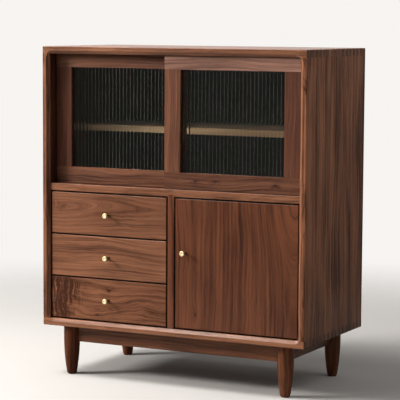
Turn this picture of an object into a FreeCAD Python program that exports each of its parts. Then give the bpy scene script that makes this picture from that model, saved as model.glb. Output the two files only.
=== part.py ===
import FreeCAD, Part
import math
import os
import re
import Sketcher

# A walnut side cabinet on turned legs. Two sliding doors of reeded glass close the upper half,
# and three drawers and a hinged door share the lower half.
# The front faces -Y, +Z is up, and the origin lies on the ground below the middle of the cabinet.

# Driving sizes in millimetres
SIZES = {
    # Carcass boards, their finger joints and the bevelled front frame
    "width": 800,
    "depth": 400,
    "carcass_height": 780,
    "board": 20,
    "finger_count": 31,
    "outer_arris_radius": 2,
    "arris_radius": 1.5,
    "frame_flat_width": 11.5,
    "frame_bevel_depth": 7,
    "frame_corner_radius": 32,
    "face_inset": 10,
    "housing_depth": 6,
    "back_board": 9,
    "back_lap_width": 10,
    # Screws of the back panel
    "screw_radius": 1.75,
    "screw_head_radius": 3.5,
    "screw_head_depth": 2.5,
    "screw_length": 20,
    # Shelves and their pins
    "shelf_board": 18,
    "shelf_gap": 0.5,
    "upper_shelf_height": 140,
    "upper_shelf_inset": 160,
    "cupboard_shelf_height": 170,
    "cupboard_shelf_inset": 70,
    "pin_radius": 2.5,
    "pin_plug_length": 10,
    "pin_tab_length": 9,
    "pin_tab_height": 5,
    "pin_inset": 36,
    # Legs, aprons, corner blocks and foot pads
    "leg_height": 140,
    "leg_radius": 22.5,
    "leg_straight_height": 35,
    "leg_side_inset": 70,
    "leg_front_inset": 40,
    "foot_radius": 13.6,
    "foot_chamfer_width": 1.5,
    "leg_dowel_radius": 9,
    "leg_dowel_height": 12,
    "apron_height": 47,
    "apron_board": 14,
    "apron_setback": 6,
    "apron_end_gap": 1,
    "block_gap": 5,
    "block_board": 22,
    "block_height": 30,
    "pad_radius": 11,
    "pad_height": 2,
    # Sliding doors
    "slider_board": 20,
    "slider_inset": 16,
    "slider_gap": 3,
    "slider_overlap_width": 48,
    "slider_side_gap": 2,
    "slider_stile_width": 48,
    "slider_top_rail_height": 36,
    "slider_bottom_rail_height": 44,
    "slider_shoulder_gap": 1.5,
    "tongue_board": 8,
    "tongue_side_gap": 0.5,
    "tongue_high_gap": 6,
    "tongue_low_gap": 0.3,
    "top_groove_depth": 12,
    "bottom_groove_depth": 6,
    "tenon_board": 8,
    "tenon_length": 22,
    "tenon_shoulder_width": 9,
    "glass_lip_depth": 8,
    "glass_rebate_width": 8,
    "glass_board": 5,
    "glass_gap": 0.5,
    "flute_count": 29,
    "flute_height": 1.4,
    "flute_gap": 0.4,
    # Drawers
    "reveal_gap": 4,
    "front_board": 20,
    "drawer_side_board": 12,
    "drawer_low_gap": 14,
    "drawer_high_gap": 16.5,
    "drawer_back_gap": 12.5,
    "drawer_front_housing_depth": 8,
    "drawer_back_board": 12,
    "drawer_back_housing_depth": 4,
    "drawer_bottom_board": 6,
    "drawer_bottom_low_gap": 9,
    "drawer_bottom_housing_depth": 6,
    # Three-part drawer runners, a channel inside a channel inside a channel
    "runner_width": 13,
    "runner_height": 45,
    "runner_thickness": 1.2,
    "runner_gap": 0.35,
    "runner_front_gap": 1,
    "runner_back_gap": 4,
    # Hinged door, its pivots and its catch
    "pivot_side_inset": 20,
    "pivot_face_inset": 8,
    "pivot_radius": 3,
    "pivot_gap": 0.05,
    "pivot_seat_depth": 10,
    "pivot_reach_length": 10,
    "pivot_collar_radius": 5,
    "pivot_collar_gap": 0.3,
    "bush_radius": 5,
    "bush_length": 12,
    "catch_length": 42,
    "catch_board": 13,
    "catch_depth": 15,
    "catch_offset": 60,
    "catch_gap": 0.3,
    "catch_plate_board": 1.5,
    "catch_plate_height": 14,
    # Brass knobs
    "knob_length": 22,
    "knob_radius": 7,
    "knob_head_height": 4.5,
    "knob_edge_width": 0.8,
    "knob_flare_height": 3,
    "knob_stem_radius": 3,
    "knob_base_radius": 5,
    "knob_base_height": 1.5,
    "knob_stud_radius": 2,
    "knob_stud_length": 12,
    "knob_dimple_radius": 3.2,
    "knob_dimple_depth": 1,
    "door_knob_inset": 30.5,
    "door_knob_height": 30,
    # How far a cutting shape runs past the wood
    "overrun_length": 2,
}

# The drawers, from the bottom up
DRAWERS = ("lower_drawer", "middle_drawer", "upper_drawer")

# Places worked out from the sizes, in the order in which they build on each other
PLACES = {
    "front_y": "(knob_length - face_inset - depth) / 2",
    "back_y": "front_y + depth",
    "back_face_y": "back_y - back_board",
    "face_y": "front_y + face_inset",
    "top_z": "leg_height + carcass_height",
    "ceiling_z": "top_z - board",
    "opening": "(carcass_height - 3 * board) / 2",
    "middle_top_z": "ceiling_z - opening",
    "middle_under_z": "middle_top_z - board",
    "ground_z": "leg_height + board",
    "inner_half": "width / 2 - board",
    "bay": "inner_half - board / 2",
    "bevel_slope": "(board - frame_flat_width) / frame_bevel_depth",
    "leg_x": "width / 2 - leg_side_inset",
    "leg_y": "depth / 2 - leg_front_inset",
    "middle_y": "(front_y + back_y) / 2",
    "apron_inside": "apron_board / 2 + apron_setback",
    "apron_end": "apron_inside + apron_end_gap",
    "block_near": "(leg_radius + block_gap) * sqrt(2) - 2 * apron_inside",
    "block_far": "block_near + block_board * sqrt(2)",
    "slider_width": "inner_half + slider_overlap_width / 2 - slider_side_gap",
    "slider_low_z": "middle_top_z + slider_shoulder_gap",
    "slider_high_z": "ceiling_z - slider_shoulder_gap",
    "sight_low_z": "slider_low_z + slider_bottom_rail_height",
    "sight_high_z": "slider_high_z - slider_top_rail_height",
    "tongue_inset": "(slider_board - tongue_board) / 2",
    "front_track_y": "front_y + slider_inset",
    "rear_track_y": "front_track_y + slider_board + slider_gap",
    "pane_width": "slider_width - 2 * slider_stile_width + 2 * (glass_rebate_width - glass_gap)",
    "pane_height": "sight_high_z - sight_low_z + 2 * (glass_rebate_width - glass_gap)",
    "flute_pitch": "pane_width / flute_count",
    "flute_chord": "flute_pitch - flute_gap",
    "flute_radius": "(flute_chord * flute_chord / 4 + flute_height * flute_height) / (2 * flute_height)",
    "front_height": f"(opening - {len(DRAWERS) + 1} * reveal_gap) / {len(DRAWERS)}",
    "door_left_x": "board / 2 + reveal_gap",
    "pivot_x": "inner_half - pivot_side_inset",
    "pivot_y": "face_y + pivot_face_inset",
    "door_low_z": "ground_z + reveal_gap",
    "door_high_z": "middle_under_z - reveal_gap",
    "door_back_y": "face_y + front_board",
    "drawer_back_y": "back_face_y - drawer_back_gap",
    "drawer_length": "drawer_back_y - door_back_y",
    "drawer_side_height": "front_height - drawer_low_gap - drawer_high_gap",
    "runner_length": "drawer_length - runner_front_gap - runner_back_gap",
    "catch_x": "door_left_x + catch_offset",
    "knob_face": "knob_stud_length + knob_length",
}

# Where the back panel's screws go: shares of the width from the middle, and of the height from below
SCREW_ROW_SHARES = (-0.25, 0.25)
SCREW_COLUMN_SHARES = (0.1, 0.5, 0.9)

doc = FreeCAD.newDocument("side_cabinet")
sheet = doc.addObject("Spreadsheet::Sheet", "sizes")
cells = {alias: str(size) for alias, size in SIZES.items()}
cells.update({alias: "=" + formula for alias, formula in PLACES.items()})
for row, (alias, content) in enumerate(cells.items(), start=1):
    sheet.set(f"A{row}", alias)
    sheet.set(f"B{row}", content)
    sheet.setAlias(f"B{row}", alias)
doc.recompute()

nodes = {}


# Helpers that bind an object to the sheet
def bound(formula):
    return re.sub(r"[a-z_]+", lambda word: "sizes." * (word[0] in cells) + word[0], formula)


def value(formula):
    return float(sheet.evalExpression(bound(formula)))


def bind(item, **formulas):
    for name, formula in formulas.items():
        item.setExpression(name, bound(formula))


def place(item, corner):
    for axis, formula in zip("xyz", corner):
        item.setExpression("Placement.Base." + axis, bound(formula))


def keep(name, item):
    item.Label = name
    nodes[name] = item
    return item


# Helpers that make solids
def box(name, size, corner):
    block = doc.addObject("Part::Box", name)
    bind(block, Length=size[0], Width=size[1], Height=size[2])
    place(block, corner)
    return block


def cylinder(name, radius, length, centre, axis="z"):
    rod = doc.addObject("Part::Cylinder", name)
    direction = FreeCAD.Vector(*(float(axis == letter) for letter in "xyz"))
    rod.Placement.Rotation = FreeCAD.Rotation(FreeCAD.Vector(0, 0, 1), direction)
    bind(rod, Radius=radius, Height=length)
    place(rod, centre)
    return rod


def compound(name, items):
    group = doc.addObject("Part::Compound", name)
    group.Links = items
    return group


def fuse(name, items):
    joined = doc.addObject("Part::MultiFuse", name)
    joined.Shapes = items
    joined.Refine = True
    return joined


def cut(name, base, *tools):
    for number, tool in enumerate(tools, start=1):
        step = doc.addObject("Part::Cut", f"{name}_cut_{number}")
        step.Base = base
        step.Tool = tool
        base = step
    return base


def mirrored(name, source, axis, at="0"):
    twin = doc.addObject("Part::Mirroring", name)
    twin.Source = source
    twin.Normal = FreeCAD.Vector(*(float(axis == letter) for letter in "xyz"))
    twin.setExpression("Base." + axis, bound(at))
    return twin


def eased(name, kind, sizes, radius, corner, face, along):
    # A block with rounded edges: those in its zero plane of the face axis that run along the given axes
    def is_eased(edge):
        start, end = (vertex.Point for vertex in edge.Vertexes)
        lies = face is None or getattr(start, face) == getattr(end, face) == 0
        return lies and any(getattr(start, axis) != getattr(end, axis) for axis in along)

    body = doc.addObject("PartDesign::Body", name)
    blank = body.newObject("PartDesign::Additive" + kind, name + "_blank")
    bind(blank, **sizes)
    doc.recompute()
    rounding = body.newObject("PartDesign::Fillet", name + "_arris")
    edges = enumerate(blank.Shape.Edges, start=1)
    rounding.Base = (blank, [f"Edge{number}" for number, edge in edges if is_eased(edge)])
    bind(rounding, Radius=radius)
    body.Tip = rounding
    place(body, corner)
    return body


def eased_board(name, size, corner, face, along):
    sizes = dict(zip(("Length", "Width", "Height"), size))
    return eased(name, "Box", sizes, "arris_radius", corner, face, along)


def origin_part(body, role):
    return next(item for item in body.Origin.OriginFeatures if item.Role == role)


def flat_sketch(body, name, plane):
    sketch = body.newObject("Sketcher::SketchObject", name)
    sketch.AttachmentSupport = [(origin_part(body, plane), "")]
    sketch.MapMode = "FlatFace"
    return sketch


def dimension(sketch, formula, kind, *where):
    rule = sketch.addConstraint(Sketcher.Constraint(kind, *where, value(formula)))
    sketch.setExpression(f"Constraints[{rule}]", bound(formula))


def profile(body, name, plane, corners, arc_from=None):
    # A closed outline through the corners, of lines and at most one arc that runs on into the next line
    sketch = flat_sketch(body, name, plane)
    points = [FreeCAD.Vector(value(across), value(up), 0) for across, up in corners]
    following = points[1:] + points[:1]
    for number, (start, end) in enumerate(zip(points, following)):
        if number == arc_from:
            step = end - start
            radius = step.Length ** 2 / (2 * step.x)
            centre = FreeCAD.Vector(end.x - radius, end.y, 0)
            angle = math.atan2(start.y - centre.y, start.x - centre.x)
            circle = Part.Circle(centre, FreeCAD.Vector(0, 0, 1), radius)
            sketch.addGeometry(Part.ArcOfCircle(circle, angle, 0), False)
        else:
            sketch.addGeometry(Part.LineSegment(start, end), False)
    for number in range(len(points)):
        kind = "Tangent" if number == arc_from else "Coincident"
        following_number = (number + 1) % len(points)
        sketch.addConstraint(Sketcher.Constraint(kind, number, 2, following_number, 1))
    for number, corner in enumerate(corners):
        for kind, axis, formula in zip(("DistanceX", "DistanceY"), (-2, -1), corner):
            if formula == "0":
                sketch.addConstraint(Sketcher.Constraint("PointOnObject", number, 1, axis))
            else:
                dimension(sketch, formula, kind, -1, 1, number, 1)
    return sketch


def turned(name, corners, arc_from=None):
    body = doc.addObject("PartDesign::Body", name)
    sketch = profile(body, name + "_profile", "XZ_Plane", corners, arc_from)
    turning = body.newObject("PartDesign::Revolution", name + "_turning")
    turning.Profile = sketch
    turning.ReferenceAxis = (sketch, ["V_Axis"])
    turning.Angle = 360
    body.Tip = turning
    return body


# Turned brass knob, with its stud in the wood and its axis towards -Y
def knob(name, x, z):
    neck = "knob_face - knob_head_height"
    body = turned(name, [
        ("0", "0"),
        ("knob_stud_radius", "0"),
        ("knob_stud_radius", "knob_stud_length"),
        ("knob_base_radius", "knob_stud_length"),
        ("knob_base_radius", "knob_stud_length + knob_base_height"),
        ("knob_stem_radius", "knob_stud_length + knob_base_height"),
        ("knob_stem_radius", neck + " - knob_flare_height"),
        ("knob_radius", neck),
        ("knob_radius", "knob_face - knob_edge_width"),
        ("knob_radius - knob_edge_width", "knob_face"),
        ("knob_dimple_radius", "knob_face"),
        ("0", "knob_face - knob_dimple_depth"),
    ])
    body.Placement.Rotation = FreeCAD.Rotation(FreeCAD.Vector(1, 0, 0), 90)
    place(body, (x, "face_y + knob_stud_length", z))
    return keep(name, body)


# Shelves on spade pins
def shelf_pin(name, wall_x, side, y, under_z):
    plug_x = wall_x + (" - pin_plug_length" if side > 0 else "")
    tab_x = wall_x + (" - pin_tab_length" if side < 0 else "")
    middle_z = under_z + " - pin_tab_height / 2"
    plug = cylinder(name + "_plug", "pin_radius", "pin_plug_length", (plug_x, y, middle_z), "x")
    size = ("pin_tab_length", "2 * pin_radius", "pin_tab_height")
    tab = box(name + "_tab", size, (tab_x, y + " - pin_radius", under_z + " - pin_tab_height"))
    return fuse(name, [plug, tab])


def shelf(name, left_x, right_x, inset, under_z):
    front = f"front_y + {inset}"
    depth = f"back_face_y - front_y - {inset} - shelf_gap"
    size = (f"{right_x} - ({left_x}) - 2 * shelf_gap", depth, "shelf_board")
    keep(name, eased_board(name, size, (left_x + " + shelf_gap", front, under_z), "y", "x"))
    pins = []
    for number, y in enumerate((front + " + pin_inset", "back_face_y - pin_inset")):
        pins.append(shelf_pin(f"{name}_left_pin_{number}", left_x, 1, y, under_z))
        pins.append(shelf_pin(f"{name}_right_pin_{number}", right_x, -1, y, under_z))
    return pins


upper_pins = shelf("upper_shelf", "-inner_half", "inner_half", "upper_shelf_inset",
                   "middle_top_z + upper_shelf_height")
cupboard_pins = shelf("cupboard_shelf", "board / 2", "inner_half", "cupboard_shelf_inset",
                      "ground_z + cupboard_shelf_height")
shelf_pins = keep("shelf_pins", compound("shelf_pins", upper_pins + cupboard_pins))

# Back panel, lapped into a rebate and screwed to the boards
back_edge = "(board - back_lap_width)"
back_size = (f"width - 2 * {back_edge}", "back_board", f"carcass_height - 2 * {back_edge}")
back_corner = (f"-width / 2 + {back_edge}", "back_face_y", f"leg_height + {back_edge}")
back_blank = box("back_blank", back_size, back_corner)


def back_screw(name, x, z):
    shank = cylinder(name + "_shank", "screw_radius", "screw_length", (x, "back_y - screw_length", z), "y")
    head = doc.addObject("Part::Cone", name + "_head")
    head.Placement.Rotation = FreeCAD.Rotation(FreeCAD.Vector(-1, 0, 0), 90)
    bind(head, Radius1="screw_radius", Radius2="screw_head_radius", Height="screw_head_depth")
    place(head, (x, "back_y - screw_head_depth", z))
    return fuse(name, [shank, head])


lap_middle = "(board - back_lap_width / 2)"
screws = []
for share in SCREW_ROW_SHARES:
    x = f"{share} * width"
    screws.append(back_screw("top_screw", x, f"top_z - {lap_middle}"))
    screws.append(back_screw("middle_screw", x, "middle_top_z - board / 2"))
    screws.append(back_screw("bottom_screw", x, f"leg_height + {lap_middle}"))
for share in SCREW_COLUMN_SHARES:
    z = f"leg_height + {share} * carcass_height"
    screws.append(back_screw("left_screw", f"-width / 2 + {lap_middle}", z))
    screws.append(back_screw("right_screw", f"width / 2 - {lap_middle}", z))
back_screws = keep("back_screws", compound("back_screws", screws))
keep("back_panel", cut("back_panel", back_blank, back_screws))

# Middle panel and centre partition, housed in the boards around them
middle_size = ("2 * (inner_half + housing_depth)", "back_face_y - face_y", "board")
middle_corner = ("-inner_half - housing_depth", "face_y", "middle_under_z")
middle_blank = eased_board("middle_blank", middle_size, middle_corner, "y", "x")
partition_size = ("board", "back_face_y - face_y", "opening + 2 * housing_depth")
partition_corner = ("-board / 2", "face_y", "ground_z - housing_depth")
partition_blank = eased_board("partition_blank", partition_size, partition_corner, "y", "z")
keep("centre_partition", cut("centre_partition", partition_blank, shelf_pins))


# Pivot pins of the hinged door, each with a collar that keeps the door off the board
def pivot_pin(name, low_z, collar_z):
    length = "pivot_seat_depth + reveal_gap + pivot_reach_length"
    pin = cylinder(name + "_pin", "pivot_radius", length, ("pivot_x", "pivot_y", low_z))
    height = "reveal_gap - pivot_collar_gap"
    collar = cylinder(name + "_collar", "pivot_collar_radius", height, ("pivot_x", "pivot_y", collar_z))
    return fuse(name, [pin, collar])


pivot_pins = keep("door_pivot_pins", compound("door_pivot_pins", [
    pivot_pin("lower_pivot", "ground_z - pivot_seat_depth", "ground_z"),
    pivot_pin("upper_pivot", "door_high_z - pivot_reach_length", "door_high_z + pivot_collar_gap"),
]))


# Grooves for the tongues of the sliding doors
def track(name, track_y, corner_z, depth):
    size = ("2 * inner_half", "tongue_board + 2 * tongue_side_gap", depth + " + overrun_length")
    return box(name, size, ("-inner_half", track_y + " + tongue_inset - tongue_side_gap", corner_z))


track_ys = ("front_track_y", "rear_track_y")
top_tracks = [track(y + "_top", y, "ceiling_z - overrun_length", "top_groove_depth") for y in track_ys]
low_z = "middle_top_z - bottom_groove_depth"
low_tracks = [track(y + "_low", y, low_z, "bottom_groove_depth") for y in track_ys]
keep("middle_panel", cut("middle_panel", middle_blank, partition_blank, pivot_pins, back_screws, *low_tracks))

# Carcass boards, finger-jointed at the corners: the side panels' fingers stand in the top and bottom panels
fingers = []
for number in range(1, int(SIZES["finger_count"]), 2):
    corner = ("-width / 2", f"front_y + {number} * depth / finger_count", "ceiling_z")
    fingers.append(box(f"finger_{number}", ("board", "depth / finger_count", "board"), corner))
left_top = compound("left_top_fingers", fingers)
left_bottom = mirrored("left_bottom_fingers", left_top, "z", "leg_height + carcass_height / 2")
right_top = mirrored("right_top_fingers", left_top, "x")
right_bottom = mirrored("right_bottom_fingers", left_bottom, "x")

envelope_size = {"Length": "width", "Width": "depth", "Height": "carcass_height"}
envelope_corner = ("-width / 2", "front_y", "leg_height")
envelope = eased("carcass_envelope", "Box", envelope_size, "outer_arris_radius", envelope_corner, None, "xyz")

# The bevel round the inside of the front frame, cut by one tapered block with rounded corners
open_x = "width / 2 - frame_flat_width + bevel_slope * overrun_length"
shut_x = "inner_half - bevel_slope * overrun_length"
open_z = "carcass_height / 2 - frame_flat_width + bevel_slope * overrun_length"
shut_z = "carcass_height / 2 - board - bevel_slope * overrun_length"
bevel_sizes = {
    "Xmin": f"-({open_x})", "Xmax": open_x, "X2min": f"-({shut_x})", "X2max": shut_x,
    "Zmin": f"-({open_z})", "Zmax": open_z, "Z2min": f"-({shut_z})", "Z2max": shut_z,
    "Ymin": "-overrun_length", "Ymax": "frame_bevel_depth + overrun_length",
}
bevel_corner = ("0", "front_y", "leg_height + carcass_height / 2")
bevel = eased("frame_bevel", "Wedge", bevel_sizes, "frame_corner_radius", bevel_corner, None, "y")


def within_envelope(name, item):
    rounded = doc.addObject("Part::Common", name)
    rounded.Base = item
    rounded.Tool = envelope
    return rounded


def carcass_board(name, blank, *tools):
    worked = cut(name + "_blank", blank, bevel, back_blank, back_screws, *tools)
    return within_envelope(name + "_rounded", worked)


def side_panel(name, x, *finger_rows):
    size = ("board", "depth", "carcass_height - 2 * board")
    blank = box(name + "_core", size, (x, "front_y", "ground_z"))
    core = carcass_board(name, blank, middle_blank, shelf_pins)
    rows = [within_envelope(f"{row.Name}_rounded", row) for row in finger_rows]
    keep(name, fuse(name, [core] + rows))


side_panel("left_side_panel", "-width / 2", left_top, left_bottom)
side_panel("right_side_panel", "inner_half", right_top, right_bottom)

# Aprons, housed in the legs
long_apron = ("2 * (leg_x - apron_end)", "apron_board", "apron_height")
apron_x = "-(leg_x - apron_end)"
apron_z = "leg_height - apron_height"
front_apron_y = "middle_y - leg_y + apron_setback - apron_board / 2"
rear_apron_y = "middle_y + leg_y - apron_setback - apron_board / 2"
front_apron = eased_board("front_apron", long_apron, (apron_x, front_apron_y, apron_z), "z", "x")
rear_apron = eased_board("rear_apron", long_apron, (apron_x, rear_apron_y, apron_z), "z", "x")
keep("front_apron", front_apron)
keep("rear_apron", rear_apron)
side_apron_size = ("apron_board", "2 * (leg_y - apron_end)", "apron_height")
side_apron_corner = ("-leg_x + apron_setback - apron_board / 2", "middle_y - leg_y + apron_end", apron_z)
left_apron = eased_board("left_apron", side_apron_size, side_apron_corner, "z", "y")
right_apron = mirrored("right_apron", left_apron, "x")
side_aprons = keep("side_aprons", compound("side_aprons", [left_apron, right_apron]))

# Turned legs, straight beside the aprons and curving in to the foot, with a dowel in the bottom panel
dowels = []
pads = []
for front, y, apron in (("front", "middle_y - leg_y", front_apron), ("rear", "middle_y + leg_y", rear_apron)):
    for side, x in (("left", "-leg_x"), ("right", "leg_x")):
        name = f"{front}_{side}_leg"
        turning = turned(name + "_turned", [
            ("0", "pad_height"),
            ("foot_radius - foot_chamfer_width", "pad_height"),
            ("foot_radius", "pad_height + foot_chamfer_width"),
            ("leg_radius", "leg_height - leg_straight_height"),
            ("leg_radius", "leg_height"),
            ("leg_dowel_radius", "leg_height"),
            ("leg_dowel_radius", "leg_height + leg_dowel_height"),
            ("0", "leg_height + leg_dowel_height"),
        ], arc_from=2)
        place(turning, (x, y, "0"))
        keep(name, cut(name, turning, apron, side_aprons))
        dowels.append(turning)
        pads.append(cylinder(f"{front}_{side}_pad", "pad_radius", "pad_height", (x, y, "0")))
keep("foot_pads", compound("foot_pads", pads))

# Top and bottom panels
panel_size = ("width", "depth", "board")
top_blank = box("top_blank", panel_size, ("-width / 2", "front_y", "ceiling_z"))
top_board = carcass_board("top_panel", top_blank, *top_tracks)
top_fingers = compound("top_fingers", [left_top, right_top])
keep("top_panel", cut("top_panel", top_board, top_fingers))
bottom_blank = box("bottom_blank", panel_size, ("-width / 2", "front_y", "leg_height"))
bottom_board = carcass_board("bottom_panel", bottom_blank, partition_blank, pivot_pins, *dowels)
bottom_fingers = compound("bottom_fingers", [left_bottom, right_bottom])
keep("bottom_panel", cut("bottom_panel", bottom_board, bottom_fingers))

# Corner blocks across the inside corners of the aprons
block_body = doc.addObject("PartDesign::Body", "front_left_block")
block_sketch = profile(block_body, "block_outline", "XY_Plane", [
    ("block_near", "0"), ("block_far", "0"), ("0", "block_far"), ("0", "block_near"),
])
block_pad = block_body.newObject("PartDesign::Pad", "block_pad")
block_pad.Profile = block_sketch
bind(block_pad, Length="block_height")
block_body.Tip = block_pad
place(block_body, ("-leg_x + apron_inside", "middle_y - leg_y + apron_inside", "leg_height - block_height"))
rear_left_block = mirrored("rear_left_block", block_body, "y", "middle_y")
front_right_block = mirrored("front_right_block", block_body, "x")
rear_right_block = mirrored("rear_right_block", rear_left_block, "x")
blocks = [block_body, rear_left_block, front_right_block, rear_right_block]
keep("corner_blocks", compound("corner_blocks", blocks))


# Sliding doors: rails over the full width, stiles tenoned between them, the pane held by beads from behind
def reeded_glass(name, corner):
    body = doc.addObject("PartDesign::Body", name)
    pane = body.newObject("PartDesign::AdditiveBox", name + "_pane")
    bind(pane, Length="pane_width", Width="glass_board - flute_height", Height="pane_height")
    pane.setExpression("Placement.Base.y", bound("flute_height"))
    sketch = flat_sketch(body, name + "_flute_outline", "XY_Plane")
    start = FreeCAD.Vector(value("flute_gap / 2"), value("flute_height"), 0)
    end = FreeCAD.Vector(value("flute_gap / 2 + flute_chord"), value("flute_height"), 0)
    radius = value("flute_radius")
    half_angle = math.asin(value("flute_chord / 2") / radius)
    centre = FreeCAD.Vector(value("flute_pitch / 2"), radius, 0)
    circle = Part.Circle(centre, FreeCAD.Vector(0, 0, 1), radius)
    lowest = -math.pi / 2
    sketch.addGeometry(Part.ArcOfCircle(circle, lowest - half_angle, lowest + half_angle), False)
    sketch.addGeometry(Part.LineSegment(end, start), False)
    sketch.addConstraint(Sketcher.Constraint("Coincident", 0, 2, 1, 1))
    sketch.addConstraint(Sketcher.Constraint("Coincident", 1, 2, 0, 1))
    for point, corner_x in ((1, "flute_gap / 2 + flute_chord"), (2, "flute_gap / 2")):
        dimension(sketch, corner_x, "DistanceX", -1, 1, 1, point)
        dimension(sketch, "flute_height", "DistanceY", -1, 1, 1, point)
    dimension(sketch, "flute_radius", "Radius", 0)
    flute = body.newObject("PartDesign::Pad", name + "_flute")
    flute.Profile = sketch
    bind(flute, Length="pane_height")
    doc.recompute()
    flutes = body.newObject("PartDesign::LinearPattern", name + "_flutes")
    flutes.Originals = [flute]
    flutes.Direction = (origin_part(body, "X_Axis"), [""])
    bind(flutes, Length="pane_width - flute_pitch", Occurrences="flute_count")
    body.Tip = flutes
    place(body, corner)
    return keep(name, body)


def sliding_door(name, left_x, track_y):
    right_x = f"{left_x} + slider_width"
    sight = "sight_high_z - sight_low_z"
    rebate_x = f"{left_x} + slider_stile_width - glass_rebate_width"
    rebate_width = "slider_width - 2 * (slider_stile_width - glass_rebate_width)"
    rebate_y = f"{track_y} + glass_lip_depth"
    rebate_depth = "slider_board - glass_lip_depth + overrun_length"
    rebate_size = (rebate_width, rebate_depth, sight + " + 2 * glass_rebate_width")
    rebate = box(name + "_rebate", rebate_size, (rebate_x, rebate_y, "sight_low_z - glass_rebate_width"))

    stiles = {"left": left_x, "right": f"{right_x} - slider_stile_width"}
    blanks = []
    for side, x in stiles.items():
        stile_size = ("slider_stile_width", "slider_board", sight)
        stile = box(f"{name}_{side}_core", stile_size, (x, track_y, "sight_low_z"))
        tenon_width = "slider_stile_width - 2 * tenon_shoulder_width"
        tenon_size = (tenon_width, "tenon_board", sight + " + 2 * tenon_length")
        tenon_y = f"{track_y} + (slider_board - tenon_board) / 2"
        tenon_corner = (x + " + tenon_shoulder_width", tenon_y, "sight_low_z - tenon_length")
        tenon = box(f"{name}_{side}_tenon", tenon_size, tenon_corner)
        blank = fuse(f"{name}_{side}_blank", [stile, tenon])
        blanks.append(blank)
        keep(f"{name}_{side}_stile", cut(f"{name}_{side}_stile", blank, rebate))

    def rail(level, low_z, height, tongue_z, tongue_height):
        core = box(f"{name}_{level}_core", ("slider_width", "slider_board", height), (left_x, track_y, low_z))
        tongue_size = ("slider_width", "tongue_board", tongue_height)
        tongue = box(f"{name}_{level}_tongue", tongue_size, (left_x, track_y + " + tongue_inset", tongue_z))
        blank = fuse(f"{name}_{level}_blank", [core, tongue])
        keep(f"{name}_{level}_rail", cut(f"{name}_{level}_rail", blank, rebate, *blanks))

    rise = "slider_shoulder_gap + top_groove_depth - tongue_high_gap"
    drop = "slider_shoulder_gap + bottom_groove_depth - tongue_low_gap"
    rail("top", "sight_high_z", "slider_top_rail_height", "slider_high_z", rise)
    rail("bottom", "slider_low_z", "slider_bottom_rail_height", f"slider_low_z - ({drop})", drop)

    pane_corner = (rebate_x + " + glass_gap", rebate_y, "sight_low_z - glass_rebate_width + glass_gap")
    reeded_glass(name + "_glass", pane_corner)
    bead_y = rebate_y + " + glass_board"
    bead_depth = "slider_board - glass_lip_depth - glass_board"
    long_bead = (rebate_width, bead_depth, "glass_rebate_width")
    short_bead = ("glass_rebate_width", bead_depth, sight)
    keep(name + "_glazing_beads", compound(name + "_glazing_beads", [
        box(name + "_low_bead", long_bead, (rebate_x, bead_y, "sight_low_z - glass_rebate_width")),
        box(name + "_high_bead", long_bead, (rebate_x, bead_y, "sight_high_z")),
        box(name + "_left_bead", short_bead, (rebate_x, bead_y, "sight_low_z")),
        box(name + "_right_bead", short_bead, (f"{right_x} - slider_stile_width", bead_y, "sight_low_z")),
    ]))


sliding_door("left_door", "-inner_half + slider_side_gap", "rear_track_y")
sliding_door("right_door", "inner_half - slider_side_gap - slider_width", "front_track_y")


# Drawer runners: the cabinet's channel, the channel that moves half as far, and the drawer's channel
def channel(name, wall_x, side, near, far, half_height, middle_z, opens_inward):
    def stretch(part, low, high, height):
        x = f"{wall_x} + {low}" if side > 0 else f"{wall_x} - ({high})"
        size = (f"{high} - ({low})", "runner_length", f"2 * ({height})")
        return box(f"{name}_{part}", size, (x, "door_back_y + runner_front_gap", f"{middle_z} - ({height})"))

    web = stretch("blank", near, far, half_height)
    low = f"{near} + runner_thickness" if opens_inward else f"{near} - overrun_length"
    high = f"{far} + overrun_length" if opens_inward else f"{far} - runner_thickness"
    hollow = stretch("hollow", low, high, f"{half_height} - runner_thickness")
    return cut(name, web, hollow)


def runner_set(name, middle_z):
    nest = "(runner_thickness + runner_gap)"
    members = {"cabinet": [], "middle": [], "drawer": []}
    sections = {
        "cabinet": ("0", f"runner_width - 2 * {nest}", "runner_height / 2"),
        "middle": (nest, f"runner_width - {nest}", f"runner_height / 2 - {nest}"),
        "drawer": (f"2 * {nest}", "runner_width", f"runner_height / 2 - 2 * {nest}"),
    }
    for member, section in sections.items():
        for side, wall_x in ((1, "-inner_half"), (-1, "-board / 2")):
            label = f"{name}_{'left' if side > 0 else 'right'}_{member}_member"
            members[member].append(channel(label, wall_x, side, *section, middle_z, member != "drawer"))
    return members


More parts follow.
